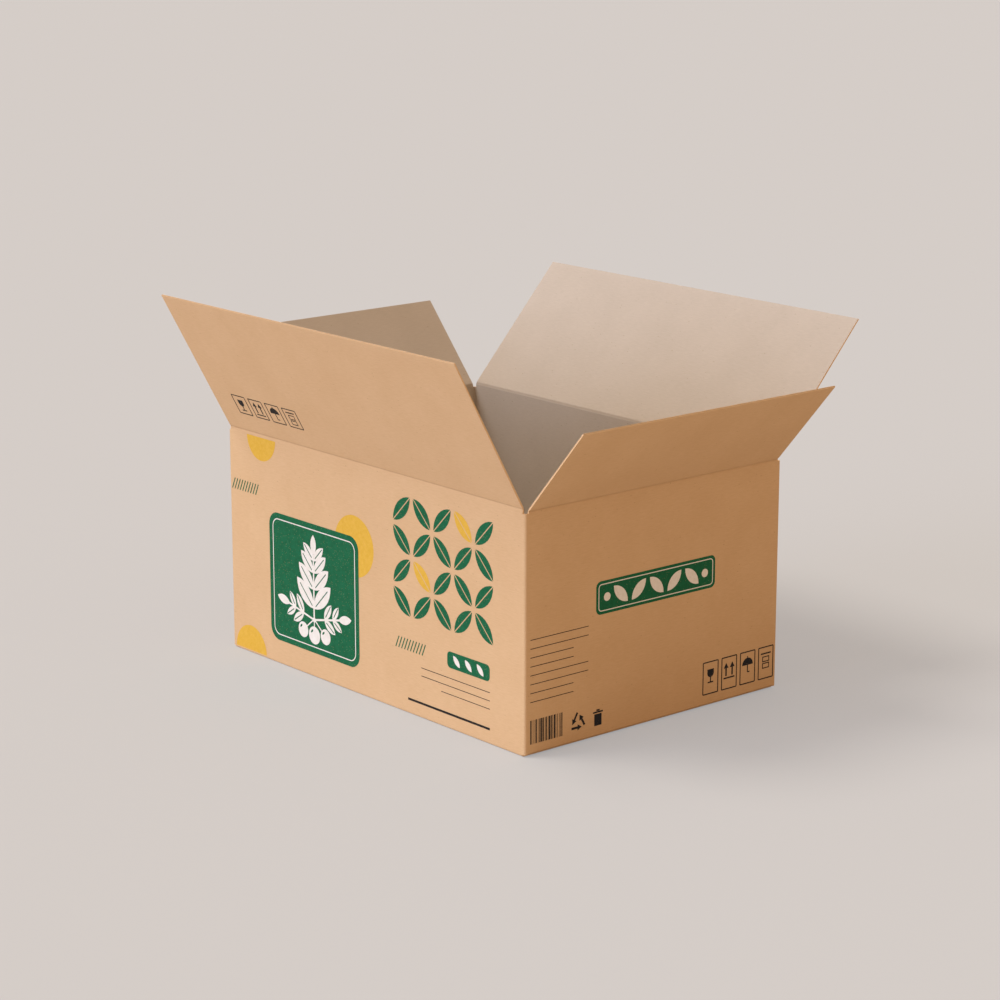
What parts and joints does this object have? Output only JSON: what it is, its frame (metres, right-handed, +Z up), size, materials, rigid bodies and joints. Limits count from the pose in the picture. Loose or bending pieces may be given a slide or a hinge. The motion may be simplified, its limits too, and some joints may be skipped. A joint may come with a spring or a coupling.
{
  "type": "regular slotted carton",
  "caption": "Open-topped shipping carton folded from one corrugated blank, with hinged top flaps, a glued side joint and a glued bottom.",
  "frame": {"origin": "middle of the base, on the surface the carton stands on", "axes": "+X along the length towards the right end wall, +Y along the width towards the back wall, +Z up"},
  "size_m": [0.53, 0.4498, 0.3297],
  "materials": {
    "kraft_board": "uncoated brown kraft"
  },
  "bodies": {
    "carton": {"carton_body": "kraft_board"},
    "front_flap": {"front_top_flap": "kraft_board"},
    "back_flap": {"back_top_flap": "kraft_board"},
    "left_flap": {"left_top_flap": "kraft_board"},
    "right_flap": {"right_top_flap": "kraft_board"}
  },
  "joints": [
    {"name": "front_flap_crease", "type": "hinge", "parent": "carton", "child": "front_flap", "pos_m": [0, -0.1426, 0.2044], "axis": [-1, 0, 0], "range_deg": [-146, 119]},
    {"name": "back_flap_crease", "type": "hinge", "parent": "carton", "child": "back_flap", "pos_m": [0, 0.1426, 0.2044], "axis": [1, 0, 0], "range_deg": [-132.7, 132.3]},
    {"name": "left_flap_crease", "type": "hinge", "parent": "carton", "child": "left_flap", "pos_m": [-0.2016, 0, 0.2026], "axis": [0, 1, 0], "range_deg": [-133.5, 131.5]},
    {"name": "right_flap_crease", "type": "hinge", "parent": "carton", "child": "right_flap", "pos_m": [0.2016, 0, 0.2026], "axis": [0, -1, 0], "range_deg": [-133.7, 131.3]}
  ]
}
